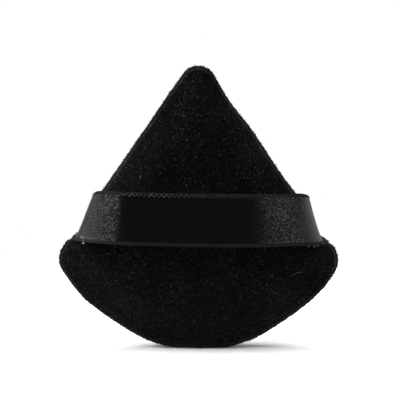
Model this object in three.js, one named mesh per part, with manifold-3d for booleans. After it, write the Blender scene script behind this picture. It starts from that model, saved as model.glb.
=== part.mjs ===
// A triangular velour powder puff with a satin finger ribbon, standing on its round lower edge.
// Two velour panels are sewn together round a foam core wrapped in wadding, and the ribbon's ends
// are caught in the two straight seams. Millimetres, +Z up, ribbon side towards -Y, tip upwards.
// The origin is on the floor, under the middle of the puff's box.
import * as THREE from "three";
import { mergeVertices } from "three/addons/utils/BufferGeometryUtils.js";
import Module from "manifold-3d";

const wasm = await Module();
wasm.setup();

// Outline of the pad, seen from the ribbon side
const padWidth = 70;
const padHeight = 70.5;
const tipRadius = 4.4;
const cornerRadius = 6;
const cornerHeight = 21.9; // the corners' centres above the floor
const crownHeight = 31; // the thickest point above the floor
const footFlat = 0.5; // depth that the lower edge is pressed flat where it stands

// Layers of the pad, from the middle outwards
const foamThickness = 10;
const waddingThickness = 1.5;
const velourThickness = 1.4;
const seamAllowance = 5; // velour turned in along the seam
const seamGap = 0.3; // between the two turned-in edges
const clearance = 0.3; // between pieces that lie on each other

// Crown of the pad: the edge is blunt, and the dome falls towards the tip and the corners
const edgeRise = 2.5;
const edgeFullness = 3;
const domeDrop = 0.45;
const crownFlat = 0.8; // share of the way from edge to crown where the flat of the crown begins

// Satin ribbon
const ribbonWidth = 12.7;
const ribbonThickness = 0.4;
const ribbonHeight = 33.3; // its middle above the floor
const ribbonLean = 0.9; // how much nearer the pad its upper edge is than its lower edge
const fingerGap = 6.8; // between the crown and the ribbon's lower edge
const tailSetback = 1; // from the ribbon's cut ends to the velour's turned-in edge
const tailReach = 0.3; // ribbon outside the seam, where it folds forward
const legDepth = 8.8; // from the seam plane to where the ribbon starts to turn
const legBend = 0.65; // share of that depth at which the legs bend in or out

// Turns of the ribbon, tighter on the left: half widths at its lower and upper edge, half width of the
// flat front, run straight on into the turn, and share of the turn's width that eases into the front
const leftTurn = { lower: 30.2, upper: 25.4, front: 17.5, run: 3, ease: 0.2 };
const rightTurn = { lower: 30.5, upper: 27.1, front: 8, run: 4, ease: 0.15 };

// Sewing thread
const threadDiameter = 0.3;
const stitchInset = 2.4; // seam line, in from the pad's edge
const tackLegs = 4; // passes of each tack through the seam
const tackMargin = 2; // from the ribbon's edges to the first and last leg
const closingStart = 22; // closing stitches, in degrees round the lower arc from its lowest point
const closingEnd = 40;
const closingInset = 0.25; // in from the pad's edge
const closingWave = 0.25; // to either side of the seam plane
const closingStitch = 3; // length of one closing stitch

// Facets
const facetSag = 0.07; // of a flat facet from the true arc
const sideSteps = 6;
const coverRings = 8;
const liningRings = 5;
const coreRings = 4;
const ringCrowding = 1.8; // draws the rings together at the blunt edge
const foldSteps = 4;
const threadSides = 6;
const ribbonColumns = 44;
const ribbonRows = 3;

// Derived places
const padDepth = foamThickness / 2 + waddingThickness + velourThickness + 2 * clearance; // seam to crown
const flangeTop = seamGap / 2 + velourThickness;
const threadLevel = flangeTop + clearance + threadDiameter / 2;
const waddingLevel = threadLevel + threadDiameter / 2 + clearance;
const ribbonFront = padDepth + fingerGap + ribbonThickness;
const ribbonBottom = ribbonHeight - ribbonWidth / 2;
const ribbonTop = ribbonHeight + ribbonWidth / 2;
const tailLength = seamAllowance - tailSetback;
const tackInset = (stitchInset + seamAllowance) / 2; // midway from the seam line to the turned-in edge
const seamPlane = (ribbonFront - padDepth) / 2; // puts the box's middle at y = 0
const farAway = 2 * (padWidth + padHeight); // larger than the pad, for cutting blocks

// Outline: a tip circle, two corner circles, their outer tangents and a lower arc
const floorLine = -footFlat; // lowest point of the unpressed outline
const cornerX = padWidth / 2 - cornerRadius;
const tipZ = padHeight - tipRadius;
const centreLine = Math.hypot(cornerX, tipZ - cornerHeight);
const sideNormal =
  Math.atan2(tipZ - cornerHeight, -cornerX) - Math.acos((cornerRadius - tipRadius) / centreLine);
const cornerRise = cornerHeight - floorLine;
const arcRadius = (cornerX ** 2 + cornerRise ** 2 - cornerRadius ** 2) / (2 * (cornerRise - cornerRadius));
const arcZ = floorLine + arcRadius;
const arcEnd = Math.atan2(cornerHeight - arcZ, cornerX);

const outlineShape = new THREE.Shape();
outlineShape.absarc(cornerX, cornerHeight, cornerRadius, arcEnd, sideNormal);
outlineShape.absarc(0, tipZ, tipRadius, sideNormal, Math.PI - sideNormal);
outlineShape.absarc(-cornerX, cornerHeight, cornerRadius, Math.PI - sideNormal, Math.PI - arcEnd);
outlineShape.absarc(0, arcZ, arcRadius, Math.PI - arcEnd, 2 * Math.PI + arcEnd);
outlineShape.closePath();

function curveSteps(curve) {
  if (curve.isLineCurve) return sideSteps;
  const stepAngle = 2 * Math.acos(1 - facetSag / curve.xRadius);
  return Math.ceil((curve.aEndAngle - curve.aStartAngle) / stepAngle);
}

// Each outline point with its direction and distance to the crown's middle
const crownPoint = new THREE.Vector2(0, crownHeight);
const shortestCurve = 1e-3;
const rim = outlineShape.curves
  .filter((curve) => curve.getLength() > shortestCurve)
  .flatMap((curve) => curve.getPoints(curveSteps(curve)).slice(1))
  .map((point) => {
    const inward = crownPoint.clone().sub(point);
    return { point, inward: inward.clone().normalize(), reach: inward.length() };
  });
const longestReach = Math.max(...rim.map((r) => r.reach));

// Half width of the pad's straight side at a height
function sideX(z) {
  return (tipRadius + (tipZ - z) * Math.sin(sideNormal)) / Math.cos(sideNormal);
}

// Solids: geometry to manifold and back, and blocks that cut
function solidOf(geometry) {
  const bare = new THREE.BufferGeometry().setIndex(geometry.index);
  bare.setAttribute("position", geometry.getAttribute("position"));
  const merged = mergeVertices(bare);
  const vertProperties = merged.getAttribute("position").array;
  const triVerts = new Uint32Array(merged.index.array);
  return new wasm.Manifold(new wasm.Mesh({ numProp: 3, vertProperties, triVerts }));
}

function geometryOf(solid) {
  const mesh = solid.getMesh();
  const geometry = new THREE.BufferGeometry();
  geometry.setAttribute("position", new THREE.BufferAttribute(mesh.vertProperties, mesh.numProp));
  geometry.setIndex(new THREE.BufferAttribute(mesh.triVerts, 1));
  return geometry;
}

// Block from y = low to y = high, reaching past the pad on every other side
function slab(low, high) {
  return solidOf(new THREE.BoxGeometry(farAway, high - low, farAway).translate(0, (low + high) / 2, 0));
}

function underFloor() {
  return solidOf(new THREE.BoxGeometry(farAway, farAway, farAway).translate(0, 0, -farAway / 2));
}

// Half thickness of the pad a share of the way from edge to crown, at a distance from the crown's middle
function crown(share, distance) {
  const fill = (1 - (1 - share) ** edgeRise) ** (1 / edgeFullness);
  const dome = 1 - domeDrop * (distance / longestReach) ** 2;
  return flangeTop + (padDepth - flangeTop) * fill * dome;
}

// Shares at which the crown has a ring of points, closest together at the blunt edge
function crownShares(rings) {
  const shares = [];
  for (let i = 0; i <= rings; i++) shares.push(crownFlat * (i / rings) ** ringCrowding);
  return [...shares, 1];
}

// Closed pillow inside the pad's outer surface by an offset: a lathe bent round the outline.
// Profile points hold a share of the way to the crown, a side and, in the seam groove, a set y.
function pillow(offset, rings, groove = []) {
  const shrink = 1 - offset / padDepth;
  const shares = crownShares(rings);
  const face = shares.map((share) => ({ share, inset: offset, side: 1 })).reverse();
  const back = shares.map((share) => ({ share, inset: offset, side: -1 }));
  const profile = [...face, ...groove, ...back];
  const lathePoints = profile.map((p) => new THREE.Vector2(1 - p.share, p.side));
  const lathe = new THREE.LatheGeometry(lathePoints, rim.length);
  const position = lathe.getAttribute("position");
  for (let i = 0; i < position.count; i++) {
    const { point, inward, reach } = rim[Math.floor(i / profile.length) % rim.length];
    const { share, inset, side, y } = profile[i % profile.length];
    const along = inset + share * (reach - inset);
    const flatShare = share >= crownFlat ? 1 : share;
    const distance = share >= crownFlat ? 0 : reach - along;
    const depth = y ?? side * crown(flatShare, distance) * shrink;
    position.setXYZ(i, point.x + inward.x * along, depth, point.y + inward.y * along);
  }
  return solidOf(lathe);
}

// Seam groove: the two panels fold in over their own thickness
function foldGroove() {
  const fold = [];
  for (let i = 1; i <= foldSteps; i++) {
    const turn = (i / foldSteps) * (Math.PI / 2);
    const inset = velourThickness * (1 - Math.cos(turn));
    fold.push({ share: 0, inset, side: 1, y: flangeTop - velourThickness * Math.sin(turn) });
  }
  const back = fold.map((p) => ({ ...p, side: -1, y: -p.y })).reverse();
  return [...fold, ...back];
}

// Prism of a shape drawn in x and z, from y = -half to y = half
function flatPrism(shape, half) {
  const prism = new THREE.ExtrudeGeometry(shape, { depth: 2 * half, bevelEnabled: false });
  return solidOf(prism.rotateX(Math.PI / 2).translate(0, half, 0));
}

// Prism of the pad's outline, drawn in by an inset
function outlinePrism(inset, half) {
  const points = rim.map(({ point, inward }) => point.clone().addScaledVector(inward, inset));
  return flatPrism(new THREE.Shape(points), half);
}

// Ribbon ends: flat strips between the panels, slanted along the straight seam. A margin makes the pocket.
function ribbonTail(side, margin) {
  const low = ribbonBottom - margin;
  const high = ribbonTop + margin;
  const inner = tailLength + margin;
  const outer = tailReach + margin;
  const corners = [
    [sideX(low) - inner, low],
    [sideX(low) + outer, low],
    [sideX(high) + outer, high],
    [sideX(high) - inner, high],
  ].map(([x, z]) => new THREE.Vector2(side * x, z));
  return flatPrism(new THREE.Shape(corners), ribbonThickness / 2 + margin);
}

// Ribbon tacks: a thread that goes through both panels and the ribbon's end, and lies on their inner faces
function tackPlaces(side) {
  const run = ribbonWidth - 2 * tackMargin;
  const places = [];
  for (let i = 0; i < tackLegs; i++) {
    const z = ribbonBottom + tackMargin + (run * i) / (tackLegs - 1);
    const edge = new THREE.Vector2(sideX(z), z);
    const inward = crownPoint.clone().sub(edge).normalize();
    const place = edge.addScaledVector(inward, tackInset);
    places.push(new THREE.Vector3(side * place.x, 0, place.y));
  }
  return places;
}

function tackLeg(place, radius) {
  const length = 2 * threadLevel + threadDiameter;
  const leg = new THREE.CylinderGeometry(radius, radius, length, threadSides);
  return solidOf(leg.translate(place.x, place.y, place.z));
}

function tackRun(from, to, level) {
  const along = to.clone().sub(from);
  const radius = threadDiameter / 2;
  const rod = new THREE.CylinderGeometry(radius, radius, along.length(), threadSides);
  const rodAxis = new THREE.Vector3(0, 1, 0);
  const turn = new THREE.Quaternion().setFromUnitVectors(rodAxis, along.clone().normalize());
  const middle = from.clone().add(to).multiplyScalar(0.5);
  return solidOf(rod.applyQuaternion(turn).translate(middle.x, level, middle.z));
}

function ribbonTack(side) {
  const places = tackPlaces(side);
  let thread = tackLeg(places[0], threadDiameter / 2);
  for (let i = 1; i < places.length; i++) {
    const level = i % 2 ? threadLevel : -threadLevel;
    const run = tackRun(places[i - 1], places[i], level);
    thread = thread.add(tackLeg(places[i], threadDiameter / 2)).add(run);
  }
  return thread;
}

function tackHoles(side) {
  const holes = tackPlaces(side).map((place) => tackLeg(place, threadDiameter / 2 + clearance));
  return holes.reduce((all, hole) => all.add(hole));
}

// Velour panels: the cover less its cavity, with the seam allowance turned in and the ribbon's ends let in
function velourPanels() {
  const turnedIn = outlinePrism(0, flangeTop).subtract(outlinePrism(seamAllowance, farAway));
  const cavity = pillow(velourThickness, liningRings).subtract(turnedIn);
  let cover = pillow(0, coverRings, foldGroove()).subtract(cavity).subtract(underFloor());
  for (const side of [-1, 1]) {
    cover = cover.subtract(ribbonTail(side, clearance)).subtract(tackHoles(side));
  }
  return {
    back: cover.subtract(slab(-seamGap / 2, farAway)),
    face: cover.subtract(slab(-farAway, seamGap / 2)),
  };
}

// Wadding: two soft layers over the foam, clear of the turned-in seam
function waddingLayers() {
  const outside = velourThickness + clearance;
  const edge = outlinePrism(seamAllowance, farAway);
  const foamSpace = pillow(outside + waddingThickness, coreRings).intersect(edge);
  const wrap = pillow(outside, liningRings).subtract(foamSpace);
  return {
    back: wrap.subtract(slab(-waddingLevel, farAway)),
    face: wrap.subtract(slab(-farAway, waddingLevel)),
  };
}

// Foam core: die-cut inside the seam allowance and pressed into a lens by the sewn cover
function foamCore() {
  const outside = velourThickness + waddingThickness + 2 * clearance;
  return pillow(outside, coreRings).intersect(outlinePrism(seamAllowance + clearance, farAway));
}

// Seam threads: one on each turned-in edge, right round the pad
function seamThread(level) {
  const places = rim.map(({ point, inward }) => {
    const place = point.clone().addScaledVector(inward, stitchInset);
    return new THREE.Vector3(place.x, level, place.y);
  });
  const path = new THREE.CatmullRomCurve3(places, true);
  return new THREE.TubeGeometry(path, 2 * places.length, threadDiameter / 2, threadSides, true);
}

// Closing stitches: they wave along the seam groove where the cover was turned right side out
function closingThread() {
  const start = THREE.MathUtils.degToRad(closingStart - 90);
  const end = THREE.MathUtils.degToRad(closingEnd - 90);
  const radius = arcRadius - closingInset;
  const stitches = Math.round((radius * (end - start)) / closingStitch);
  const places = [];
  for (let i = 0; i <= stitches; i++) {
    const angle = start + ((end - start) * i) / stitches;
    const wave = i % 2 ? closingWave : -closingWave;
    places.push(new THREE.Vector3(radius * Math.cos(angle), wave, arcZ + radius * Math.sin(angle)));
  }
  const path = new THREE.CatmullRomCurve3(places);
  const section = new THREE.Shape().absarc(0, 0, threadDiameter / 2, 0, 2 * Math.PI);
  const curveSegments = threadSides / 2;
  return new THREE.ExtrudeGeometry(section, { steps: 2 * stitches, curveSegments, extrudePath: path });
}

// Ribbon band, seen from above: out of the seam, round a turn, flat across the front and back again.
// The height is 0 at the ribbon's lower edge and 1 at its upper edge.
function ribbonPath(height) {
  const foldReach = tailReach + clearance + ribbonThickness / 2;
  const seamX = sideX(ribbonBottom + height * ribbonWidth) + foldReach;
  const seamY = ribbonThickness + clearance;
  const bendY = legBend * legDepth;
  const frontY = ribbonFront - ribbonThickness / 2 - ribbonLean * height;
  const [left, right] = [leftTurn, rightTurn].map(({ lower, upper, front, run, ease }) => {
    const x = THREE.MathUtils.lerp(lower, upper, height);
    return { x, front, runY: legDepth + run, easeX: THREE.MathUtils.lerp(front, x, ease) };
  });
  const path = new THREE.Path();
  path.moveTo(seamX, -seamY);
  path.bezierCurveTo(seamX, -bendY, right.x, -bendY, right.x, -legDepth);
  path.bezierCurveTo(right.x, -right.runY, right.easeX, -frontY, right.front, -frontY);
  path.lineTo(-left.front, -frontY);
  path.bezierCurveTo(-left.easeX, -frontY, -left.x, -left.runY, -left.x, -legDepth);
  path.bezierCurveTo(-left.x, -bendY, -seamX, -bendY, -seamX, -seamY);
  return path;
}

function ribbonBand() {
  const band = new THREE.BoxGeometry(1, 1, 1, ribbonColumns, 1, ribbonRows);
  const position = band.getAttribute("position");
  for (let i = 0; i < position.count; i++) {
    const height = position.getZ(i) + 0.5;
    const path = ribbonPath(height);
    const along = position.getX(i) + 0.5;
    const middle = path.getPointAt(along);
    const tangent = path.getTangentAt(along);
    const off = position.getY(i) * ribbonThickness;
    const z = ribbonBottom + height * ribbonWidth;
    position.setXYZ(i, middle.x - tangent.y * off, middle.y + tangent.x * off, z);
  }
  return band;
}

// Finishes
const velour = { color: 0x0c0c0e, roughness: 0.95, metalness: 0 };
const satin = { color: 0x121214, roughness: 0.38, metalness: 0 };
const foam = { color: 0xe9e3d3, roughness: 0.9, metalness: 0 };
const wadding = { color: 0xf2f1ee, roughness: 1, metalness: 0 };
const thread = { color: 0x0e0e10, roughness: 0.6, metalness: 0 };

function piece(name, shape, finish) {
  const geometry = shape.isBufferGeometry ? shape : geometryOf(shape);
  const mesh = new THREE.Mesh(geometry, new THREE.MeshStandardMaterial(finish));
  mesh.name = name;
  return mesh;
}

const panels = velourPanels();
const layers = waddingLayers();
const pad = new THREE.Group();
pad.add(
  piece("velour_back_panel", panels.back, velour),
  piece("velour_face_panel", panels.face, velour),
  piece("wadding_back", layers.back, wadding),
  piece("wadding_face", layers.face, wadding),
  piece("foam_core", foamCore(), foam),
  piece("seam_needle_thread", seamThread(-threadLevel), thread),
  piece("seam_bobbin_thread", seamThread(threadLevel), thread),
  piece("closing_stitch", closingThread(), thread),
);
for (const [hand, side] of [["left", -1], ["right", 1]]) {
  pad.add(
    piece(`ribbon_tail_${hand}`, ribbonTail(side, 0).subtract(tackHoles(side)), satin),
    piece(`ribbon_tack_${hand}`, ribbonTack(side), thread),
  );
}

const ribbon = new THREE.Group();
ribbon.add(piece("ribbon_band", ribbonBand(), satin));

const puff = new THREE.Group();
puff.add(pad, ribbon);
puff.position.y = seamPlane;

export default puff;
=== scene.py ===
import math
import random

import bmesh
import bpy
import numpy as np
from mathutils import Matrix, Vector, noise
from mathutils.bvhtree import BVHTree


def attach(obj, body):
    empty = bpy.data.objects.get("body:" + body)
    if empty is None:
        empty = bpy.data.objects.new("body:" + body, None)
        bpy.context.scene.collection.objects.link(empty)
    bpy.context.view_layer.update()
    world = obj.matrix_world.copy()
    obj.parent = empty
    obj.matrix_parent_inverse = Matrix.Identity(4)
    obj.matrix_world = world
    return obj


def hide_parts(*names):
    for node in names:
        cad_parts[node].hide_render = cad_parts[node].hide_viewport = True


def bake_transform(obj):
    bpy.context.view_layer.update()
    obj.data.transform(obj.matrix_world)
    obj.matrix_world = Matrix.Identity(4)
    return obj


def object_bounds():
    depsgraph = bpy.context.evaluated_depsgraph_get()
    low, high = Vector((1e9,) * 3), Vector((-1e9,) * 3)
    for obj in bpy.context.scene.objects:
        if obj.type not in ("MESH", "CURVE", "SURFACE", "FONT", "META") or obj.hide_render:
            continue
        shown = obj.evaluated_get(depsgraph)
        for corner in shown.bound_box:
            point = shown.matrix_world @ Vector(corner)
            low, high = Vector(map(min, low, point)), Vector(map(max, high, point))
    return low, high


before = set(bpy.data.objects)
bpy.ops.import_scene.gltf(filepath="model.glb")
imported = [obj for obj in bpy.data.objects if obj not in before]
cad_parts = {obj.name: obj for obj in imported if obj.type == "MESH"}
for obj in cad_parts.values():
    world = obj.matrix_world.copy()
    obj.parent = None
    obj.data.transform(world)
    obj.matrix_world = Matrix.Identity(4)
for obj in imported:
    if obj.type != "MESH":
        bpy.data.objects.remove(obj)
cad_low, cad_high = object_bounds()
scene = bpy.context.scene

# Foam core. A die-cut piece of open-cell foam, cut smaller than the cover so that it clears the
# turned-in seam. It lies loose between two layers of wadding, and the cover presses it into a lens.
MM = 0.001
SAME_POINT = 0.001 * MM
FOAM_GRAIN = 0.7 * MM
FOAM_CELL = 1.6 * MM
FOAM_CELL_DEPTH = 0.3 * MM
FOAM_CELL_MOUTH = 0.55
FOAM_PORES = 1400.0
FOAM_PORE_DEPTH = 0.2 * MM
FOAM_BLOTCHES = 90.0
FOAM_CREAM = (0.78, 0.71, 0.56, 1)
FOAM_PORE_SHADE_AND_BLOTCH = (0.46, 0.38, 0.25, 1)


def copy_of_solid(node, name):
    """A new piece with a solid's mesh, its loose triangles merged."""
    mesh = bpy.data.meshes.new(name)
    shape = bmesh.new()
    shape.from_mesh(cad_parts[node].data)
    bmesh.ops.remove_doubles(shape, verts=shape.verts, dist=SAME_POINT)
    shape.to_mesh(mesh)
    shape.free()
    piece = bpy.data.objects.new(name, mesh)
    scene.collection.objects.link(piece)
    return piece


def settle(piece):
    """Applies a piece's modifiers as they stand at the present frame."""
    graph = bpy.context.evaluated_depsgraph_get()
    mesh = bpy.data.meshes.new_from_object(piece.evaluated_get(graph))
    mesh.name = piece.name
    piece.modifiers.clear()
    piece.data = mesh


def even_grain(piece, grain):
    """Gives a piece's skin even quads, so that it can swell or be roughened."""
    step = piece.modifiers.new("even grain", "REMESH")
    step.mode = "VOXEL"
    step.voxel_size = grain
    settle(piece)


def skin_of(piece):
    """A piece's points and outward normals, as arrays."""
    mesh = piece.data
    points = np.empty(len(mesh.vertices) * 3)
    normals = np.empty(len(mesh.vertices) * 3)
    mesh.vertices.foreach_get("co", points)
    mesh.vertices.foreach_get("normal", normals)
    return points.reshape(-1, 3), normals.reshape(-1, 3)


def place_skin(piece, points):
    piece.data.vertices.foreach_set("co", points.ravel())
    piece.data.update()


def shade_smooth(piece):
    piece.data.polygons.foreach_set("use_smooth", [True] * len(piece.data.polygons))
    piece.data.update()


def put(tree, kind, inputs=None, **settings):
    """Adds a node to a tree, with its settings, and its inputs set to values or joined to outputs."""
    made = tree.nodes.new("ShaderNode" + kind)
    for name, value in settings.items():
        setattr(made, name, value)
    for name, value in (inputs or {}).items():
        if isinstance(value, bpy.types.NodeSocket):
            tree.links.new(value, made.inputs[name])
        else:
            made.inputs[name].default_value = value
    return made


def mix_colours(tree, share, first, second, blend="MIX"):
    """Mixes two colours, each a colour or an output, by a share."""
    made = put(tree, "Mix", {0: share, 6: first, 7: second}, data_type="RGBA", blend_type=blend)
    return made.outputs[2]


def spread(tree, value, low, high, to_low=0.0, to_high=1.0):
    """Maps a value from one range to another, held at both ends."""
    made = put(tree, "MapRange", {"Value": value, "From Min": low, "From Max": high,
                                  "To Min": to_low, "To Max": to_high})
    return made.outputs["Result"]


def calc(tree, operation, *values):
    """The result of a sum over values or outputs."""
    return put(tree, "Math", dict(enumerate(values)), operation=operation).outputs[0]


def new_finish(name, **sockets):
    """A material with a Principled shader, whose plain values are set on its own sockets."""
    finish = bpy.data.materials.new(name)
    finish.use_nodes = True
    shader = finish.node_tree.nodes["Principled BSDF"]
    for socket, value in sockets.items():
        shader.inputs[socket.replace("_", " ")].default_value = value
    return finish, finish.node_tree, shader


def join(tree, shader, **outputs):
    for socket, output in outputs.items():
        tree.links.new(output, shader.inputs[socket.replace("_", " ")])


foam = copy_of_solid("foam_core", "foam_lens")
even_grain(foam, FOAM_GRAIN)
points, normals = skin_of(foam)
nearest = np.array([noise.voronoi(Vector(point) / FOAM_CELL)[0][0] for point in points])
pits = 1 - np.minimum(1, nearest / FOAM_CELL_MOUTH)
place_skin(foam, points - normals * (FOAM_CELL_DEPTH * pits)[:, None])
shade_smooth(foam)

foam_finish, tree, shader = new_finish("open_cell_foam", Roughness=0.95, Specular_IOR_Level=0.2)
where = put(tree, "TexCoord").outputs["Object"]
foam_cells = put(tree, "TexVoronoi", {"Vector": where, "Scale": FOAM_PORES}).outputs["Distance"]
foam_tone = put(tree, "TexNoise", {"Vector": where, "Scale": FOAM_BLOTCHES, "Detail": 4.0}).outputs["Fac"]
# The foam is painted darker in its pores, a painted shade in the hollows, and in random blotches.
foam_pore_shade_and_blotches = calc(tree, "MULTIPLY", foam_cells, foam_tone)
foam_colour = mix_colours(tree, spread(tree, foam_pore_shade_and_blotches, 0.05, 0.4), FOAM_PORE_SHADE_AND_BLOTCH, FOAM_CREAM)
foam_bump = put(tree, "Bump", {"Height": foam_cells, "Strength": 0.7, "Distance": FOAM_PORE_DEPTH})
join(tree, shader, Base_Color=foam_colour, Normal=foam_bump.outputs[0])
foam.data.materials.append(foam_finish)
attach(foam, "pad")
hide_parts("foam_core")

# Wadding. Two thin layers of white polyester fibre, one under each velour panel, which round off the
# foam's edge. They are laid in loose when the puff is stuffed, and nothing sews them down.
WADDING_GRAIN = 0.8 * MM
WADDING_CLUMP = 2.2 * MM
WADDING_DIMPLE = 0.25 * MM
WADDING_STRANDS = 700.0
WADDING_TANGLE = 2.5
WADDING_STRAND_DEPTH = 0.3 * MM
WADDING_WHITE = (0.86, 0.85, 0.83, 1)
WADDING_SHADE = (0.60, 0.59, 0.57, 1)

fibre_grain = bpy.data.node_groups.new("fibre_grain", "ShaderNodeTree")
for name, kind in (("Vector", "Vector"), ("Scale", "Float"), ("Tangle", "Float"), ("Depth", "Float")):
    fibre_grain.interface.new_socket(name, in_out="INPUT", socket_type="NodeSocket" + kind)
for name, kind in (("Grain", "Float"), ("Normal", "Vector")):
    fibre_grain.interface.new_socket(name, in_out="OUTPUT", socket_type="NodeSocket" + kind)
given = fibre_grain.nodes.new("NodeGroupInput").outputs
result = fibre_grain.nodes.new("NodeGroupOutput").inputs
strands = put(fibre_grain, "TexNoise", {"Vector": given["Vector"], "Scale": given["Scale"],
                                        "Distortion": given["Tangle"], "Detail": 4.0})
raised = put(fibre_grain, "Bump", {"Height": strands.outputs["Fac"], "Distance": given["Depth"],
                                   "Strength": 0.6})
fibre_grain.links.new(strands.outputs["Fac"], result["Grain"])
fibre_grain.links.new(raised.outputs[0], result["Normal"])


def lay_grain(tree, scale, tangle, depth):
    """Places the fibre grain in a material, and gives its mask and its normal."""
    where = put(tree, "TexCoord").outputs["Object"]
    made = put(tree, "Group", {"Vector": where, "Scale": scale, "Tangle": tangle, "Depth": depth},
               node_tree=fibre_grain)
    return made.outputs["Grain"], made.outputs["Normal"]


wadding_finish, tree, shader = new_finish("fibre_wadding", Roughness=1.0, Specular_IOR_Level=0.1,
                                          Sheen_Weight=0.3)
wadding_fibre, wadding_normal = lay_grain(tree, WADDING_STRANDS, WADDING_TANGLE, WADDING_STRAND_DEPTH)
wadding_colour = mix_colours(tree, spread(tree, wadding_fibre, 0.35, 0.65), WADDING_SHADE, WADDING_WHITE)
join(tree, shader, Base_Color=wadding_colour, Normal=wadding_normal)
waddings = {}
for side in ("back", "face"):
    wadding = copy_of_solid("wadding_" + side, "fibre_layer_" + side)
    even_grain(wadding, WADDING_GRAIN)
    points, normals = skin_of(wadding)
    clumps = np.array([noise.turbulence(Vector(point) / WADDING_CLUMP, 3, False) for point in points])
    place_skin(wadding, points - normals * (WADDING_DIMPLE * clumps)[:, None])
    shade_smooth(wadding)
    wadding.data.materials.append(wadding_finish)
    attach(wadding, "pad")
    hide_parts("wadding_" + side)
    waddings[side] = wadding

# Velour cover. Two rounded-triangle panels of black cotton velour with a short dense pile, sewn right
# sides together, turned and stuffed, so that the pile stands out all over and closes over the seam.
SEAM_Y = 3.6 * MM
PAD_HEART = Vector((0, SEAM_Y, 31 * MM))
VELOUR_GRAIN = 0.62 * MM
OUTSIDE = 0.12
SLACK = 0.45 * MM
SEAM_REACH = 1.6 * MM
SEAM_STIFF = 4.5 * MM
CLOTH_SCALE = 20
CLOTH_PRESSURE = 4.0
CLOTH_MASS = 0.02
CLOTH_FRAMES = 20
SWELL_LIMIT = 0.8 * MM
GRAIN_SHIFT = 0.07 * MM
PILE_SHORT = 0.10 * MM
PILE_LONG = 0.30 * MM
PILE_TALLEST = 0.50 * MM
PILE_STRAY = 0.09
PILE_LEAN = 0.12 * MM
NAP_SWIRL = 9 * MM
NAP_COMB = 0.35
NAP_LEAST = 0.08
# The falls and the upper tone below paint the pile darker towards the top, with more near-black tufts there:
# painted shade.
NAP_FALLS = (1.7, 3.0)
HAND_MARK = 13 * MM
HAND_MARK_DEPTH = 0.22 * MM
# Each dent in mm: its middle on the pad's edge, its reach and its depth.
DENTS = [((8.0, 61.5), 10, 0.7), ((-22.0, 7.5), 15, 1.0), ((23.5, 8.0), 13, 0.8),
         ((19.5, 45.0), 17, 0.42), ((-33.0, 17.0), 8, 0.5)]
UPPER_PAINTED_SHADE = 0.76
TUFT_CLUMP = 0.75 * MM
TUFT_GATHER = 1.6
TUFT_LEAST = 0.1
FLECK_SHARE = 0.34
FLECK_PAINTED_HIGHLIGHT_HEIGHTS = (0.4, 1.3)
FLECK_CLUMP = 6 * MM
FLECK_CHAIN = 1.1 * MM
FLECK_CHAIN_WIDTH = 0.12
FLECK_SINGLE = 0.15
FLECK_CHAINED = 2.6
FLECK_FAINT = 0.05
FLECK_BRIGHT = 0.75
FLECK_FALL = 2.2
WEAR_PATCHES = 120.0
PILE_FIBRES = 5200.0
PILE_FIBRE_DEPTH = 0.05 * MM
# The roots are painted near black: painted shade in the hollows between the tufts.
VELOUR_ROOT_SHADE = (0.0014, 0.0014, 0.0017, 1)
VELOUR_TIP = (0.034, 0.0335, 0.039, 1)
VELOUR_FLECK = (0.22, 0.22, 0.237, 1)
SWIRL_SEED = 7


def lerp(first, second, share):
    return first + (second - first) * share


def outward_share(point, normal):
    """How squarely a point of the cover faces away from the pad's heart."""
    return (point - PAD_HEART).normalized().dot(normal)


def dent_at(place):
    """How deep the pad is pressed in at a place on its edge."""
    depth = 0.0
    for (x, z), reach, deepest in DENTS:
        away = (place - Vector((x * MM, SEAM_Y, z * MM))).length / (reach * MM)
        depth += deepest * MM * max(0.0, 1 - away ** 2) ** 2
    return depth


def swell(cover, held):
    """Blows a panel out like a cushion with its turned-in edge held fast, and applies the result."""
    start = skin_of(cover)[0]
    cover.vertex_groups.new(name="held").add(held, 1.0, "REPLACE")
    cover.data.transform(Matrix.Scale(CLOTH_SCALE, 4))
    cloth = cover.modifiers.new("swell", "CLOTH")
    cloth.settings.vertex_group_mass = "held"
    cloth.settings.mass = CLOTH_MASS
    cloth.settings.use_pressure = True
    cloth.settings.uniform_pressure_force = CLOTH_PRESSURE
    cloth.settings.effector_weights.gravity = 0
    cloth.collision_settings.use_collision = False
    cloth.point_cache.frame_start = 1
    cloth.point_cache.frame_end = CLOTH_FRAMES
    for step in range(1, CLOTH_FRAMES + 1):
        scene.frame_set(step)
    settle(cover)
    scene.frame_set(1)
    cover.vertex_groups.clear()
    cover.data.transform(Matrix.Scale(1 / CLOTH_SCALE, 4))
    moved = skin_of(cover)[0] - start
    length = np.maximum(np.linalg.norm(moved, axis=1), 1e-9)
    # The seam keeps the cover's edge stiff, and the limit keeps the swelling small.
    give = np.clip((np.abs(start[:, 1] - SEAM_Y) - SEAM_REACH) / SEAM_STIFF, 0, 1)
    place_skin(cover, start + moved * (give * np.minimum(length, SWELL_LIMIT) / length)[:, None])


def outer_faces(shape):
    """The faces of a cover's outer skin, without its lining and its turned-in edge."""
    return [face for face in shape.faces
            if outward_share(face.calc_center_median(), face.normal) > OUTSIDE]


def any_way(draw):
    """A random step of up to one each way."""
    return Vector((draw.uniform(-1, 1), draw.uniform(-1, 1), draw.uniform(-1, 1)))


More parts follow.
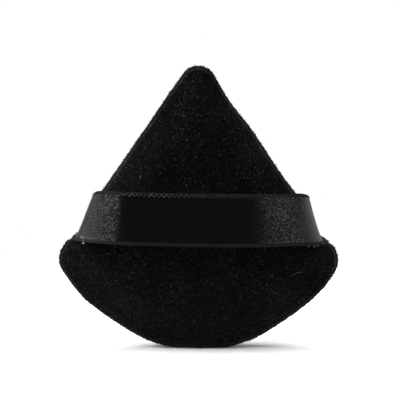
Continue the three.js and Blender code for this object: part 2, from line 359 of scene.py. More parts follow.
def raise_pile(cover, seed):
    """Halves the grid of the outer skin, breaks its rows up and raises a leaning tuft in every cell."""
    draw = random.Random(seed)
    shape = bmesh.new()
    shape.from_mesh(cover.data)
    skin = outer_faces(shape)
    rows = list(dict.fromkeys(edge for face in skin for edge in face.edges))
    bmesh.ops.subdivide_edges(shape, edges=rows, cuts=1, use_grid_fill=True)
    shape.normal_update()
    skin = outer_faces(shape)
    roots = list(dict.fromkeys(vertex for face in skin for vertex in face.verts))
    bmesh.ops.smooth_vert(shape, verts=roots, factor=0.5, use_axis_x=True, use_axis_y=True, use_axis_z=True)
    shape.normal_update()
    for root in roots:
        shift = any_way(draw) * GRAIN_SHIFT
        shift -= shift.project(root.normal)
        mark = noise.noise(root.co / HAND_MARK) * HAND_MARK_DEPTH
        root.co += shift + root.normal * (mark - dent_at(root.co))
    # Only the tips get a tone; the roots keep none and so take the painted root shade.
    pile_tone_and_painted_shade = shape.verts.layers.float.new("pile_tone_and_painted_shade")
    fleck = shape.verts.layers.float.new("fleck")
    tips = bmesh.ops.poke(shape, faces=skin)["verts"]
    shape.normal_update()
    for tip in tips:
        swirl = noise.noise_vector(tip.co / NAP_SWIRL)
        lean = Vector((swirl.x, swirl.y, swirl.z - NAP_COMB)) * PILE_LEAN
        lean += any_way(draw) * PILE_LEAN
        lean -= lean.project(tip.normal)
        tall = lerp(PILE_SHORT, PILE_LONG, draw.random())
        if draw.random() < PILE_STRAY:
            tall = PILE_TALLEST
        tip.co += lean + tip.normal * tall
        height = min(1.0, max(0.0, tip.co.z / cad_high.z))
        gather = max(TUFT_LEAST, 1 + TUFT_GATHER * noise.noise(tip.co / TUFT_CLUMP))
        # Towards the top the tufts are painted darker, with more near-black ones: painted shade on the upper
        # pile.
        tone = lerp(NAP_LEAST, 1.0, draw.random() ** lerp(*NAP_FALLS, height))
        tip[pile_tone_and_painted_shade] = tone * gather * lerp(1.0, UPPER_PAINTED_SHADE, height)
        # Pale flecks on some tips, set far more thickly at the top than at the foot: towards the top they are
        # painted highlights on the upper pile.
        clump = 0.5 + 0.5 * noise.noise(tip.co / FLECK_CLUMP)
        chain = max(0.0, 1 - abs(noise.noise(tip.co / FLECK_CHAIN)) / FLECK_CHAIN_WIDTH)
        likely = FLECK_SHARE * lerp(*FLECK_PAINTED_HIGHLIGHT_HEIGHTS, height) * clump ** 2
        if draw.random() < likely * (FLECK_SINGLE + FLECK_CHAINED * chain):
            tip[fleck] = FLECK_FAINT + FLECK_BRIGHT * draw.random() ** FLECK_FALL
    for vertex in shape.verts:
        vertex.co.z = max(vertex.co.z, 0.0)
    shape.to_mesh(cover.data)
    shape.free()


velour_finish, tree, shader = new_finish("black_velour", Roughness=0.92, Specular_IOR_Level=0.07,
                                         Sheen_Weight=0.09, Sheen_Roughness=0.5)
pile_tone_and_painted_shade = put(tree, "Attribute", attribute_name="pile_tone_and_painted_shade").outputs["Fac"]
fleck = put(tree, "Attribute", attribute_name="fleck").outputs["Fac"]
where = put(tree, "TexCoord").outputs["Object"]
worn = put(tree, "TexNoise", {"Vector": where, "Scale": WEAR_PATCHES, "Detail": 3.0}).outputs["Fac"]
pile_fibre, pile_normal = lay_grain(tree, PILE_FIBRES, 0.0, PILE_FIBRE_DEPTH)
tip_share = calc(tree, "MULTIPLY", pile_tone_and_painted_shade, spread(tree, worn, 0.3, 0.7, 0.55, 1.0))
# The tips carry the pile's own tone, and the roots a painted shade between the tufts.
velour_black = mix_colours(tree, tip_share, VELOUR_ROOT_SHADE, VELOUR_TIP)
join(tree, shader, Base_Color=mix_colours(tree, fleck, velour_black, VELOUR_FLECK),
     Roughness=spread(tree, pile_fibre, 0.3, 0.7, 0.85, 1.0), Normal=pile_normal)

# The noise behind the nap's swirl and the selvedges' stray loops starts from a fixed seed, so that
# every run gives the same pile.
noise.seed_set(SWIRL_SEED)
covers = {}
for side, seed in (("back", 11), ("face", 23)):
    cover = copy_of_solid("velour_" + side + "_panel", "velour_" + side)
    even_grain(cover, VELOUR_GRAIN)
    points, normals = skin_of(cover)
    facing = np.array([outward_share(Vector(point), Vector(normal))
                       for point, normal in zip(points, normals)])
    held = (facing < OUTSIDE) | (np.abs(points[:, 1] - SEAM_Y) < SEAM_REACH)
    place_skin(cover, points - normals * (SLACK * ~held)[:, None])
    swell(cover, np.flatnonzero(held).tolist())
    raise_pile(cover, seed)
    shade_smooth(cover)
    cover.data.materials.append(velour_finish)
    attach(cover, "pad")
    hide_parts("velour_" + side + "_panel")
    covers[side] = cover
# The layers inside give way where the pad's edge is dented.
for layer in (foam, waddings["back"], waddings["face"]):
    for vertex in layer.data.vertices:
        inward = (PAD_HEART - vertex.co).normalized()
        vertex.co += inward * dent_at(vertex.co)
    layer.data.update()

# Sewing threads. Black polyester thread: the lockstitched seam round the pad, the tacks that hold the
# ribbon's two ends in it, and the hand-sewn stitches that closed the cover after it was stuffed.
THREAD_BLACK = (0.010, 0.010, 0.011, 1)
THREAD_GREY = (0.030, 0.030, 0.032, 1)
STITCH_PULL = 0.15 * MM
THREAD_LAY = (0.6, 0.5, 0.7)
THREAD_TWIST = 1100.0
THREAD_TWIST_DEPTH = 0.06 * MM

thread_finish, tree, shader = new_finish("black_thread", Roughness=0.55, Specular_IOR_Level=0.4)
where = put(tree, "TexCoord").outputs["Object"]
turned = put(tree, "Mapping", {"Vector": where, "Rotation": THREAD_LAY}).outputs["Vector"]
twist = put(tree, "TexWave", {"Vector": turned, "Scale": THREAD_TWIST, "Distortion": 1.5, "Detail": 2.0})
twist = twist.outputs["Fac"]
thread_bump = put(tree, "Bump", {"Height": twist, "Strength": 0.6, "Distance": THREAD_TWIST_DEPTH})
join(tree, shader, Base_Color=mix_colours(tree, twist, THREAD_BLACK, THREAD_GREY),
     Roughness=spread(tree, twist, 0.0, 1.0, 0.45, 0.7), Normal=thread_bump.outputs[0])
for stitched in ("seam_needle_thread", "seam_bobbin_thread", "ribbon_tack_left", "ribbon_tack_right"):
    thread_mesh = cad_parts[stitched].data
    thread_mesh.materials.clear()
    thread_mesh.materials.append(thread_finish)
closing = copy_of_solid("closing_stitch", "closing_stitches")
for vertex in closing.data.vertices:
    inward = (PAD_HEART - vertex.co).normalized()
    vertex.co += inward * (STITCH_PULL + dent_at(vertex.co))
shade_smooth(closing)
closing.data.materials.append(thread_finish)
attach(closing, "pad")
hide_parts("closing_stitch")

# Finger ribbon. One strip of half-inch black satin ribbon with woven selvedges. Its two ends are caught
# in the side seams, and between them it stands off the pad so that two fingers slide under it.
RIBBON_WIDTH = 12.7 * MM
RIBBON_LOW = 27.1 * MM
RIBBON_RISE = 12.65 * MM
RIBBON_LEAN = 0.9 * MM
RIBBON_THICK = 0.28 * MM
RIBBON_FRONT = -11.9 * MM
RIBBON_TILT = math.tan(math.radians(0.9))
RIBBON_SAG = 0.5 * MM
SAG_REACH = 30 * MM
RIBBON_COLUMNS = 560
LOW_EDGE_DROP = 0.3 * MM
TOP_EDGE_DROP = 1.1 * MM
CORNER_DROPS = {-1: 0.75 * MM, 1: 0.55 * MM}
CORNER_REACH = 1.5 * MM
TAIL_LENGTH = 4.0 * MM
BEND_LENGTH = 5 * MM
ROUTE_STEPS = 12
HEADING_STEP = 0.2 * MM
RIPPLE_LONG = 9 * MM
RIPPLE_WIDE = 14 * MM
RIPPLE_DEPTH = 0.12 * MM
RIPPLE_SEED = 3.1
CRINKLE_LONG = 0.27 * MM
CRINKLE_WIDE = 0.25 * MM
CRINKLE_DEPTH = 0.015 * MM
CRINKLE_SEED = 7.7
CURL_REACH = 1.6 * MM
CURL_DEPTH = 0.10 * MM
EDGE_ROWS_MM = [0, 0.06, 0.3, 0.52, 0.74, 0.9, 1.3]
MIDDLE_ROWS = 64
SPAN_MM = 120
HALF_WIDTH_MM = RIBBON_WIDTH / MM / 2
SELVEDGE_MM = (0.8, 0.65)
CRUSHED_FROM_MM = (12.0, 15.0)
CRUSHED_TO_MM = (23.0, 27.0)
CRUSHED_LEFT = 0.1
WARP_RIBS = 1.6
WARP_SHARE = 0.12
FLOAT_STRETCH = (2.4, 3.6, 1)
EDGE_RIBS = 0.46
WEAVE_DEPTH = 0.035 * MM
FLOAT_ENDS = 3.7
FLOAT_END_FALL = 3.2
PLAIN_GLINT = 0.23
SELVEDGE_GLINT = 0.04
SATIN_BLACK = (0.0040, 0.0040, 0.0045, 1)
SATIN_FLOAT = (0.0055, 0.0055, 0.0061, 1)
SELVEDGE_GREY = (0.0075, 0.0075, 0.0082, 1)
SELVEDGE_ROUGH = 0.6
# Each half of the strip in mm. It turns back towards the seam at "turn", and its lower edge flares and
# kicks further out. Its leg meets the seam a little further in, and leans in at the top. It leaves the
# front at "fold" and reaches the leg at the heel, over the shares of that way that "curve" gives.
RIBBON_HALVES = {
    -1: {"turn": 25.4, "flare": 4.3, "kick": 0.55, "leg_in": 0.15, "leg_lean": 0.0,
         "heel_in": 0.35, "heel_back": 5.1, "fold": 17.5,
         "curve": ((0.95, 0.92), (0.75, 0.61), (0.5, 0.31), (0.25, 0.095), (0.0, 0.0))},
    1: {"turn": 26.85, "flare": 2.9, "kick": 0.8, "leg_in": 0.2, "leg_lean": 1.7,
        "heel_in": 0.5, "heel_back": 4.8, "fold": 9.5,
        "curve": ((0.97, 0.95), (0.88, 0.82), (0.72, 0.66), (0.5, 0.40), (0.25, 0.14), (0.0, 0.0))},
}


def edge_drop(high):
    """How much lower a row of the strip lies at the seam than at the front."""
    return lerp(LOW_EDGE_DROP, TOP_EDGE_DROP, high)


def strip_lift(x):
    """How much higher the strip lies at a distance from its middle, tilted a little and sagging."""
    return RIBBON_SAG * (x / SAG_REACH) ** 2 - RIBBON_TILT * x


def ribbon_route(side, high):
    """Half of a row's line seen from above, from the middle of the front to the sewn end."""
    low = 1 - high
    front = RIBBON_FRONT + RIBBON_LEAN * high
    half = RIBBON_HALVES[side]
    turn = (half["turn"] + half["flare"] * low + half["kick"] * low ** 4) * MM
    leg = turn - (half["leg_in"] + half["leg_lean"] * high) * MM
    heel = Vector((turn - half["heel_in"] * MM, RIBBON_FRONT + half["heel_back"] * MM))
    fold = Vector((half["fold"] * MM, front))
    bends = [(lerp(fold.x, heel.x, along), lerp(fold.y, heel.y, back)) for along, back in half["curve"]]
    bends += [(fold.x - 3 * MM, front), (fold.x - 8 * MM, front)]
    # From the cut end in the seam, round the bend at the seam and out along the leg to the front.
    stops = [(leg - TAIL_LENGTH, SEAM_Y), (leg - 2.6 * MM, SEAM_Y), (leg - 1.3 * MM, SEAM_Y),
             (leg - 0.25 * MM, SEAM_Y - 0.02 * MM), (leg + 0.05 * MM, SEAM_Y - 0.6 * MM),
             (lerp(leg, turn, 0.12), SEAM_Y - 1.6 * MM), (lerp(leg, turn, 0.6), SEAM_Y - 4 * MM),
             (turn, RIBBON_FRONT + 7.6 * MM), (turn, RIBBON_FRONT + 6.1 * MM)] + bends + [(0.0, front)]
    knots = np.array([stops[0]] * 2 + stops + [(-bends[-1][0], front)])
    # The strip bends evenly, as a cubic B-spline over these stops.
    share = np.linspace(0, 1, ROUTE_STEPS, endpoint=False)[:, None]
    weights = [(1 - share) ** 3, 3 * share ** 3 - 6 * share ** 2 + 4,
               -3 * share ** 3 + 3 * share ** 2 + 3 * share + 1, share ** 3]
    spans = [sum(weight * knots[first + step] for step, weight in enumerate(weights)) / 6
             for first in range(len(knots) - 3)]
    line = np.concatenate(spans + [[(0.0, front)]])
    return line[::-1]


def ribbon_row(across, wanted=None):
    """Lengths from the middle, places and outward headings along the strip, at a distance across it."""
    high = across / RIBBON_WIDTH
    left = ribbon_route(-1, high)
    right = ribbon_route(1, high)
    line = np.concatenate([left[::-1] * (-1, 1), right[1:]])
    lengths = np.concatenate([[0], np.cumsum(np.linalg.norm(np.diff(line, axis=0), axis=1))])
    lengths -= lengths[len(left) - 1]
    if wanted is None:
        wanted = np.linspace(lengths[0], lengths[-1], RIBBON_COLUMNS + 1)
    x, y = (np.interp(wanted, lengths, line[:, axis]) for axis in (0, 1))
    ends = [(np.interp(wanted + step, lengths, line[:, 0]), np.interp(wanted + step, lengths, line[:, 1]))
            for step in (-HEADING_STEP, HEADING_STEP)]
    heading = np.array(ends[1]) - np.array(ends[0])
    heading /= np.maximum(np.linalg.norm(heading, axis=0), 1e-9)
    out = np.stack([heading[1], -heading[0], 0 * x], axis=1)
    free = np.clip((SEAM_Y - y) / BEND_LENGTH - 0.2, 0, 1)
    ripple = np.array([noise.noise(Vector((length / RIPPLE_LONG, across / RIPPLE_WIDE, RIPPLE_SEED)))
                       for length in wanted])
    crinkle = np.array([noise.noise(Vector((length / CRINKLE_LONG, across / CRINKLE_WIDE, CRINKLE_SEED)))
                        for length in wanted])
    curl = CURL_DEPTH * max(0.0, 1 - across / CURL_REACH) ** 2
    back = np.clip((y - RIBBON_FRONT) / (SEAM_Y - RIBBON_FRONT), 0, 1)
    ends_at = np.where(x < 0, left[:, 0].max(), right[:, 0].max())
    corner = np.clip(1 - (ends_at - np.abs(x)) / CORNER_REACH, 0, 1)
    z = RIBBON_LOW + RIBBON_RISE * high - edge_drop(high) * back + strip_lift(x)
    z -= np.where(x < 0, CORNER_DROPS[-1], CORNER_DROPS[1]) * corner ** 2 * high ** 3
    proud = free * (RIPPLE_DEPTH * ripple + CRINKLE_DEPTH * crinkle + curl)
    places = np.stack([x, y, z], axis=1) + out * proud[:, None]
    return wanted, places, out


far_rows_mm = [2 * HALF_WIDTH_MM - step for step in EDGE_ROWS_MM[::-1]]
middle_rows_mm = [lerp(EDGE_ROWS_MM[-1], far_rows_mm[0], step / MIDDLE_ROWS)
                  for step in range(1, MIDDLE_ROWS)]
across_rows = [step * MM for step in EDGE_ROWS_MM + middle_rows_mm + far_rows_mm]
strip_rows = [ribbon_row(across) for across in across_rows]
last_row = len(across_rows) - 1

shape = bmesh.new()
weave = shape.loops.layers.uv.new("weave")
bmesh.ops.create_grid(shape, x_segments=RIBBON_COLUMNS, y_segments=last_row, size=0.5)
spots = {}
for vertex in shape.verts:
    row = round((vertex.co.y + 0.5) * last_row)
    column = round((vertex.co.x + 0.5) * RIBBON_COLUMNS)
    lengths, places, out = strip_rows[row]
    spots[vertex] = (0.5 + lengths[column] / (SPAN_MM * MM), across_rows[row] / (SPAN_MM * MM))
    vertex.co = places[column]
for face in shape.faces:
    for loop in face.loops:
        loop[weave].uv = spots[loop.vert]
bmesh.ops.recalc_face_normals(shape, faces=shape.faces)
if sum(face.normal.y for face in shape.faces) > 0:
    bmesh.ops.reverse_faces(shape, faces=shape.faces)


def new_piece(name, shape):
    """Makes a piece of a finished bmesh and frees it."""
    mesh = bpy.data.meshes.new(name)
    shape.to_mesh(mesh)
    shape.free()
    piece = bpy.data.objects.new(name, mesh)
    scene.collection.objects.link(piece)
    return piece


ribbon = new_piece("finger_ribbon", shape)
wall = ribbon.modifiers.new("thickness", "SOLIDIFY")
wall.thickness = RIBBON_THICK
wall.offset = 0
settle(ribbon)
shade_smooth(ribbon)

satin_finish, tree, shader = new_finish("black_satin", Roughness=0.2, Specular_IOR_Level=0.18,
                                        Anisotropic=0.3, Coat_Roughness=0.16, Coat_IOR=2.0)
strip = put(tree, "UVMap", uv_map="weave").outputs["UV"]
in_mm = put(tree, "Mapping", {"Vector": strip, "Scale": (SPAN_MM, SPAN_MM, 1)}).outputs["Vector"]
strip_mm = put(tree, "SeparateXYZ", {"Vector": in_mm}).outputs
warp = put(tree, "TexWave", {"Vector": in_mm, "Scale": WARP_RIBS, "Distortion": 0.6, "Detail": 2.0},
           bands_direction="Y").outputs["Fac"]
stretched = put(tree, "Mapping", {"Vector": in_mm, "Scale": FLOAT_STRETCH}).outputs["Vector"]
floats = put(tree, "TexNoise", {"Vector": stretched, "Scale": 1.0, "Detail": 2.0}).outputs["Fac"]
ribs = put(tree, "TexWave", {"Vector": in_mm, "Scale": EDGE_RIBS, "Distortion": 0.4},
           bands_direction="X").outputs["Fac"]
from_middle = calc(tree, "ABSOLUTE", calc(tree, "SUBTRACT", strip_mm["Y"], HALF_WIDTH_MM))
selvedge = spread(tree, from_middle, *(HALF_WIDTH_MM - edge for edge in SELVEDGE_MM))
weave_height = calc(tree, "ADD", floats, calc(tree, "MULTIPLY", warp, WARP_SHARE))
rib_height = calc(tree, "MULTIPLY_ADD", ribs, selvedge, weave_height)
satin_bump = put(tree, "Bump", {"Height": rib_height, "Strength": 1.0, "Distance": WEAVE_DEPTH})
# Where fingers crush the strip, the ends of the floats stand up and glint one by one.
from_centre = calc(tree, "ABSOLUTE", calc(tree, "SUBTRACT", strip_mm["X"], SPAN_MM / 2))
crushed = calc(tree, "MULTIPLY", spread(tree, from_centre, *CRUSHED_FROM_MM),
               spread(tree, from_centre, *CRUSHED_TO_MM, 1.0, CRUSHED_LEFT))
float_ends = put(tree, "TexVoronoi", {"Vector": in_mm, "Scale": FLOAT_ENDS}).outputs["Color"]
float_ends = put(tree, "SeparateColor", {"Color": float_ends}).outputs["Red"]
float_ends = calc(tree, "POWER", float_ends, FLOAT_END_FALL)
glint = put(tree, "Mix", {0: crushed, 2: PLAIN_GLINT, 3: float_ends}, data_type="FLOAT").outputs[0]
glint = calc(tree, "MULTIPLY", glint, spread(tree, selvedge, 0.0, 1.0, 1.0, SELVEDGE_GLINT))
satin_black = mix_colours(tree, spread(tree, floats, 0.35, 0.65), SATIN_BLACK, SATIN_FLOAT)
satin_rough = spread(tree, floats, 0.3, 0.7, 0.15, 0.25)
satin_rough = put(tree, "Mix", {0: selvedge, 2: satin_rough, 3: SELVEDGE_ROUGH}, data_type="FLOAT").outputs[0]
join(tree, shader, Base_Color=mix_colours(tree, selvedge, satin_black, SELVEDGE_GREY),
     Roughness=satin_rough, Coat_Weight=glint, Normal=satin_bump.outputs[0])
ribbon.data.materials.append(satin_finish)
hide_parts("ribbon_band", "ribbon_tail_left", "ribbon_tail_right")
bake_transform(ribbon)

# Selvedges. The ribbon's two woven edges: a fine rolled cord along each edge, and beside it a row of tiny
# loops where the weft turns back. They are of the same black thread, and bend with the strip.
# The loops and the upper cord are painted with highlights in a light grey: brightest on the upper edge left
# of the middle, faint on the lower edge.
LOOP_PITCH = 0.6 * MM
LOOP_INSET = 0.62 * MM
LOOP_REACH = 34 * MM
LOOP_SIZE = Vector((0.16, 0.15, 0.12)) * MM
LOOP_STRAY = 0.2 * MM
LOOP_ZIGZAG = 0.2 * MM
CORD_RADIUS = 0.05 * MM
CORD_SIDES = 6
LOOP_SINK = 0.02 * MM
LOOP_PLAIN = 0.2
LOOP_HIGHLIGHT_PEAK = 0.3
LOOP_PATCH = 4 * MM
LOOP_PATCH_TONE = 0.9
LOOP_PATCH_SWING = 0.9
LOOP_OWN_TONE = 0.75
LOOP_OWN_SWING = 1.1
LOOP_LEAST = 0.05
LOOP_GRAIN = 900.0
LOOP_GRAIN_DEPTH = 0.03 * MM
HIGHLIGHT_PEAK_AT = -13.5 * MM
HIGHLIGHT_PEAK_REACH = 8 * MM
LOWER_PAINTED_HIGHLIGHT = 0.03
UPPER_CORD_PAINTED_HIGHLIGHT = 0.05
LOOP_BLACK = (0.004, 0.004, 0.0045, 1)
LOOP_HIGHLIGHT_GREY = (0.6, 0.6, 0.61, 1)

shape = bmesh.new()
painted_highlight = shape.verts.layers.float.new("painted_highlight")
loop_lengths = np.arange(-LOOP_REACH, LOOP_REACH, LOOP_PITCH)
for across in (LOOP_INSET, RIBBON_WIDTH - LOOP_INSET):
    lengths, places, out = ribbon_row(across, loop_lengths)
    for count, (length, place, outward) in enumerate(zip(lengths, places, out)):
        outward = Vector(outward)
        frame_axes = Matrix((outward.cross(Vector((0, 0, 1))), Vector((0, 0, 1)), outward)).transposed()
        stray = LOOP_STRAY * noise.noise_vector(Vector((length / MM * 3.7, across / MM, 1.9)))
        spot = Vector(place) + outward * (RIBBON_THICK / 2 - LOOP_SINK) + stray - stray.project(outward)
        spot.z += LOOP_ZIGZAG * (-1) ** count
        loop = bmesh.ops.create_icosphere(shape, subdivisions=1, radius=1)["verts"]
        sized = frame_axes.to_4x4() @ Matrix.Diagonal(LOOP_SIZE).to_4x4()
        bmesh.ops.transform(shape, matrix=Matrix.Translation(spot) @ sized, verts=loop)
        # Each loop's painted highlight: a base level, a peak left of the middle, and random patches and
        # single dots; the lower edge keeps only a trace.
        bright = LOOP_PLAIN + LOOP_HIGHLIGHT_PEAK * math.exp(-((length - HIGHLIGHT_PEAK_AT) / HIGHLIGHT_PEAK_REACH) ** 2)
        patch = noise.noise(Vector((length / LOOP_PATCH, across / MM, 0.4)))
        own = noise.noise(Vector((length / MM * 2.3, across / MM, 5.2)))
        bright *= max(0.0, LOOP_PATCH_TONE + LOOP_PATCH_SWING * patch)
        bright *= max(LOOP_LEAST, LOOP_OWN_TONE + LOOP_OWN_SWING * own)
        for vertex in loop:
            vertex[painted_highlight] = bright if across > RIBBON_WIDTH / 2 else bright * LOWER_PAINTED_HIGHLIGHT
for across in (0.0, RIBBON_WIDTH):
    lengths, places, out = ribbon_row(across)
    cord = bmesh.ops.create_grid(shape, x_segments=RIBBON_COLUMNS, y_segments=CORD_SIDES, size=0.5)["verts"]
    for vertex in cord:
        column = round((vertex.co.x + 0.5) * RIBBON_COLUMNS)
        turn = (vertex.co.y + 0.5) * 2 * math.pi
        ring = Vector(out[column]) * math.cos(turn) + Vector((0, 0, 1)) * math.sin(turn)
        vertex.co = Vector(places[column]) + ring * CORD_RADIUS
        # The upper cord gets a faint painted highlight, the lower cord none.
        vertex[painted_highlight] = UPPER_CORD_PAINTED_HIGHLIGHT if across > 0 else 0.0
    bmesh.ops.remove_doubles(shape, verts=cord, dist=SAME_POINT)
bmesh.ops.recalc_face_normals(shape, faces=shape.faces)
selvedges = new_piece("ribbon_selvedges", shape)
shade_smooth(selvedges)
loop_finish, tree, shader = new_finish("selvedge_thread", Roughness=0.6, Specular_IOR_Level=0.12)
loop_painted_highlight = put(tree, "Attribute", attribute_name="painted_highlight").outputs["Fac"]
loop_grain, loop_normal = lay_grain(tree, LOOP_GRAIN, 0.0, LOOP_GRAIN_DEPTH)
loop_share = calc(tree, "MULTIPLY", spread(tree, loop_grain, 0.3, 0.6), loop_painted_highlight)
join(tree, shader, Base_Color=mix_colours(tree, loop_share, LOOP_BLACK, LOOP_HIGHLIGHT_GREY),
     Roughness=spread(tree, loop_grain, 0.3, 0.7, 0.5, 0.75), Normal=loop_normal)
selvedges.data.materials.append(loop_finish)
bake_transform(selvedges)

# Loose threads. Ends of the weft that have come away at the ribbon's lower corners, where the strip was
# cut and bent round: one pale undyed end on the left, and a few short black ends worn grey on the right.
FRAY_RADIUS = 0.07 * MM
FRAY_STEPS = 8
FRAY_SIDES = 5
FRAY_BLACK = (0.012, 0.012, 0.013, 1)
FRAY_PALE = (0.72, 0.69, 0.62, 1)
FRAY_GRAIN = 2600.0
FRAY_GRAIN_DEPTH = 0.04 * MM
FRAY_FRONT = 6 * MM
# Each end in mm: where it leaves the lower edge, three points across and up from there, and its paleness.
FRAYS = [
    (-27.6, [(0, 0.65), (0.05, 0.05), (-0.05, -0.35)], 0.9),
    (-27.6, [(-0.55, -0.4), (0, -0.15), (0.6, -0.32)], 1.0),
    (-27.6, [(-0.3, -0.22), (0.1, -0.42), (0.4, -0.2)], 0.6),
    (26.6, [(-0.2, 0.1), (0, -0.3), (0.3, -0.35)], 0.25),
    (28.0, [(-0.3, -0.1), (0, -0.35), (0.45, -0.2)], 0.3),
    (28.9, [(0, 0.2), (0.1, -0.2), (0.4, -0.25)], 0.35),
]


def lay_fibre(shape, points, radius):
    """Adds a fine closed tube along a row of points, drawn out to nothing at both ends."""
    steps = len(points) - 1
    tube = bmesh.ops.create_grid(shape, x_segments=steps, y_segments=FRAY_SIDES, size=0.5)["verts"]
    for vertex in tube:
        step = round((vertex.co.x + 0.5) * steps)
        turn = (vertex.co.y + 0.5) * 2 * math.pi
        along = (points[min(steps, step + 1)] - points[max(0, step - 1)]).normalized()
        aside = along.cross(Vector((0, 1, 0.2))).normalized()
        girth = radius * math.sqrt(max(0.0, math.sin(math.pi * step / steps)))
        vertex.co = points[step] + (aside * math.cos(turn) + aside.cross(along) * math.sin(turn)) * girth
    bmesh.ops.remove_doubles(shape, verts=tube, dist=SAME_POINT / 2)
    return [vertex for vertex in tube if vertex.is_valid]


def bent(first, middle, last, steps):
    """Points along a curve that leaves the first, heads for the middle and ends at the last."""
    return [first.lerp(middle, step / steps).lerp(middle.lerp(last, step / steps), step / steps)
            for step in range(steps + 1)]


shape = bmesh.new()
pale = shape.verts.layers.float.new("pale")
lengths, places, out = ribbon_row(0.0)
front_part = places[:, 1] < SEAM_Y - FRAY_FRONT
for x, corners, tone in FRAYS:
    nearest = np.argmin(np.abs(places[:, 0] - x * MM) + np.where(front_part, 0, 1))
    aside = Vector(out[nearest]).cross(Vector((0, 0, 1)))
    ends = [Vector(places[nearest]) + aside * across * MM + Vector((0, 0, rise * MM))
            + Vector(out[nearest]) * RIBBON_THICK for across, rise in corners]
    for vertex in lay_fibre(shape, bent(*ends, FRAY_STEPS), FRAY_RADIUS):
        vertex[pale] = tone
bmesh.ops.recalc_face_normals(shape, faces=shape.faces)
loose_threads = new_piece("loose_threads", shape)
shade_smooth(loose_threads)
fray_finish, tree, shader = new_finish("frayed_thread", Roughness=0.7, Specular_IOR_Level=0.3)
fray_tone = put(tree, "Attribute", attribute_name="pale").outputs["Fac"]
fray_grain, fray_normal = lay_grain(tree, FRAY_GRAIN, 1.0, FRAY_GRAIN_DEPTH)
fray_share = calc(tree, "MULTIPLY", spread(tree, fray_grain, 0.3, 0.6, 0.6, 1.0), fray_tone)
join(tree, shader, Base_Color=mix_colours(tree, fray_share, FRAY_BLACK, FRAY_PALE),
     Roughness=spread(tree, fray_grain, 0.3, 0.7, 0.6, 0.85), Normal=fray_normal)
loose_threads.data.materials.append(fray_finish)
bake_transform(loose_threads)

# Seat of the ribbon. Where the strip leaves the seam and lies against the pad's shoulder, its pull and
# the tacks draw the pad's edge in and press its pile flat. The wadding and the foam under it give way.
SEAT_FADE = 1.1 * MM
SEAT_BEHIND_LOW = 2.0 * MM
SEAT_BEHIND_HIGH = 6.5 * MM
SEAT_CORNER = 3.2 * MM
SEAT_CLEAR = 0.22 * MM
WADDING_DEEPER = 0.9 * MM
FOAM_DEEPER = 1.6 * MM
SEAT_STEPS = 24
SEAT_FROM_MIDDLE = 20 * MM
SEAT_LOW = 23 * MM
SEAT_HIGH = 43 * MM
SEAT_FRONT = 7.6 * MM
LEG_FRONT = 8 * MM
seat_rises = {side: RIBBON_RISE - TOP_EDGE_DROP - drop + LOW_EDGE_DROP
              for side, drop in CORNER_DROPS.items()}
seat_lines = {side: [ribbon_route(side, step / SEAT_STEPS) for step in range(SEAT_STEPS + 1)]
              for side in (-1, 1)}
seated = [(cover, SEAT_CLEAR) for cover in covers.values()]
seated += [(wadding, SEAT_CLEAR + WADDING_DEEPER) for wadding in waddings.values()]
seated += [(foam, SEAT_CLEAR + FOAM_DEEPER)]
for layer, depth in seated:
    for vertex in layer.data.vertices:
        side = 1 if vertex.co.x > 0 else -1
        reach = abs(vertex.co.x)
        if reach < SEAT_FROM_MIDDLE or not SEAT_LOW < vertex.co.z < SEAT_HIGH:
            continue
        height = vertex.co.z - strip_lift(vertex.co.x) - RIBBON_LOW + LOW_EDGE_DROP
        seat_rise = seat_rises[side]
        line = seat_lines[side][round(SEAT_STEPS * min(1.0, max(0.0, height / seat_rise)))]
        leg = line[len(line) // 2:]
        leg = leg[leg[:, 1] > SEAM_Y - LEG_FRONT]
        level = max(min(vertex.co.y, SEAM_Y), SEAM_Y - SEAT_FRONT)
        limit = np.interp(level, leg[:, 1], leg[:, 0]) - depth
        beyond = max(0.0, -height, height - seat_rise)
        behind = max(0.0, vertex.co.y - SEAM_Y)
        drawn = lerp(SEAT_BEHIND_LOW, SEAT_BEHIND_HIGH, min(1.0, max(0.0, height / SEAT_CORNER)))
        press = max(0.0, 1 - beyond / SEAT_FADE) * max(0.0, 1 - behind / drawn)
        if reach > limit:
            vertex.co.x = side * lerp(reach, limit, press)
    layer.data.update()

# Stray fibre. A single grey lint fibre caught in the pile low on the right, lying on the back panel in a
# shallow arc. Nothing fixes it but the pile.
LINT_ARC = [Vector((22.6, -20, 18.6)) * MM, Vector((24.2, -20, 19.9)) * MM, Vector((26.0, -20, 19.6)) * MM]
LINT_STEPS = 14
LINT_RADIUS = 0.06 * MM
LINT_GRAIN = 1800.0
LINT_GRAIN_DEPTH = 0.03 * MM
LINT_GREY = (0.16, 0.16, 0.165, 1)
LINT_DARK = (0.05, 0.05, 0.052, 1)
shape = bmesh.new()
shape.from_mesh(covers["back"].data)
pile_top = BVHTree.FromBMesh(shape)
shape.free()
lint_line = bent(*LINT_ARC, LINT_STEPS)
for point in lint_line:
    point.y = pile_top.ray_cast(point, Vector((0, 1, 0)))[0].y
lint_line = [Vector((point.x, min(near.y for near in lint_line[max(0, step - 1):step + 2]), point.z))
             for step, point in enumerate(lint_line)]
shape = bmesh.new()
lay_fibre(shape, lint_line, LINT_RADIUS)
bmesh.ops.recalc_face_normals(shape, faces=shape.faces)
lint = new_piece("stray_fibre", shape)
shade_smooth(lint)
lint_finish, tree, shader = new_finish("grey_lint", Roughness=0.8, Specular_IOR_Level=0.3)
lint_grain, lint_normal = lay_grain(tree, LINT_GRAIN, 1.0, LINT_GRAIN_DEPTH)
join(tree, shader, Base_Color=mix_colours(tree, spread(tree, lint_grain, 0.3, 0.7), LINT_DARK, LINT_GREY),
     Roughness=spread(tree, lint_grain, 0.3, 0.7, 0.7, 0.95), Normal=lint_normal)
lint.data.materials.append(lint_finish)
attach(lint, "pad")

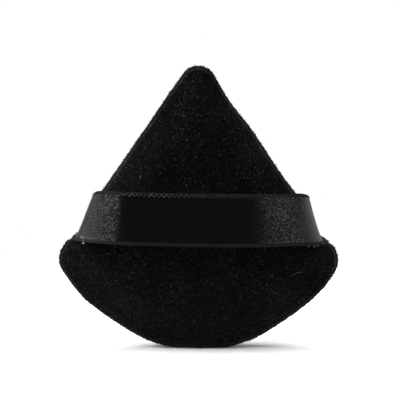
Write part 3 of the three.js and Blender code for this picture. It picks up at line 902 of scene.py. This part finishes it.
# Studio. A white table between white walls, with the camera's own side left dark, one soft lamp high
# on the left and a strip lamp above the puff. The camera stands a little above it, before the ribbon.
ROOM_WHITE = 1.0
TABLE_GREY = (0.06, 0.06, 0.06, 1)
TABLE_WHITE = (0.8, 0.8, 0.8, 1)
TABLE_SEEN = (1.38, 1.38, 1.38, 1)
TABLE_SIZE = 0.6
TABLE_GREY_FROM = (0.05, 0.10)
TABLE_GLOW_FROM = (0.10, 0.20)
shape = bmesh.new()
bmesh.ops.create_grid(shape, x_segments=24, y_segments=24, size=TABLE_SIZE)
floor = new_piece("table", shape)
table_finish, tree, shader = new_finish("white_table", Roughness=0.9, Specular_IOR_Level=0.0)
seen = put(tree, "LightPath").outputs["Is Camera Ray"]
where = put(tree, "TexCoord").outputs["Object"]
reach = put(tree, "VectorMath", {0: where}, operation="LENGTH").outputs["Value"]
table_colour = mix_colours(tree, spread(tree, reach, *TABLE_GREY_FROM), TABLE_WHITE, TABLE_GREY)
join(tree, shader, Base_Color=table_colour)
far = spread(tree, reach, *TABLE_GLOW_FROM)
glow = put(tree, "Emission", {"Color": (1, 1, 1, 1), "Strength": ROOM_WHITE}).outputs[0]
near = put(tree, "BsdfDiffuse", {"Color": TABLE_SEEN}).outputs[0]
table_seen = put(tree, "MixShader", {0: far, 1: near, 2: glow}).outputs[0]
mixed = put(tree, "MixShader", {0: seen, 1: shader.outputs[0], 2: table_seen}).outputs[0]
tree.links.new(mixed, tree.nodes["Material Output"].inputs["Surface"])
floor.data.materials.append(table_finish)

# The room's light by heading: the camera's side is dark, the right side brighter, the ceiling dim, and
# the wall straight behind the puff a little dimmer than the rest.
ROOM_LIGHT = (("Y", -0.92, -0.79, 0.01, 1.0), ("X", 0.6, 0.95, 0.87, 1.45),
              ("Z", 0.3, 0.6, 1.0, 0.08), ("Y", 0.3, 0.9, 1.0, 0.7))
room = bpy.data.worlds.new("white_room")
room.use_nodes = True
scene.world = room
tree = room.node_tree
heading = put(tree, "TexCoord").outputs["Generated"]
parts = put(tree, "SeparateXYZ", {"Vector": heading})
lit = 1.0
for axis, start, end, at_start, at_end in ROOM_LIGHT:
    lit = calc(tree, "MULTIPLY", lit, spread(tree, parts.outputs[axis], start, end, at_start, at_end))
seen = put(tree, "LightPath").outputs["Is Camera Ray"]
strength = put(tree, "Mix", {0: seen, 2: lit, 3: ROOM_WHITE}, data_type="FLOAT").outputs[0]
sky = tree.nodes["Background"]
sky.inputs["Color"].default_value = (1, 1, 1, 1)
tree.links.new(strength, sky.inputs["Strength"])

# Each lamp: its place in metres, its length and width, and its watts.
LAMPS = [("left_lamp", Vector((-0.35, -0.12, 0.30)), (0.3, 0.3), 1.65),
         ("strip_lamp", Vector((0.05, 0.06, 0.48)), (1.0, 0.15), 3.2)]
for name, place, (length, width), energy in LAMPS:
    lamp = bpy.data.lights.new(name, "AREA")
    lamp.shape = "RECTANGLE"
    lamp.size = length
    lamp.size_y = width
    lamp.energy = energy
    lamp_stand = bpy.data.objects.new(name, lamp)
    lamp_stand.location = place
    lamp_stand.rotation_euler = (-place).to_track_quat("-Z", "Y").to_euler()
    scene.collection.objects.link(lamp_stand)

CAMERA_REACH = 0.35
CAMERA_RISE = math.radians(5)
AIM = Vector((0.4 * MM, SEAM_Y, 37.0 * MM))
FRAME_WIDTH = 99.8 * MM
SENSOR_MM = 36
camera_data = bpy.data.cameras.new("camera")
camera_data.sensor_width = SENSOR_MM
camera_data.lens = SENSOR_MM * CAMERA_REACH / FRAME_WIDTH
camera_data.clip_start = 0.01
camera = bpy.data.objects.new("camera", camera_data)
camera.location = AIM + CAMERA_REACH * Vector((0, -math.cos(CAMERA_RISE), math.sin(CAMERA_RISE)))
camera.rotation_euler = (math.pi / 2 - CAMERA_RISE, 0, 0)
scene.collection.objects.link(camera)
scene.camera = camera
scene.view_settings.view_transform = "Standard"
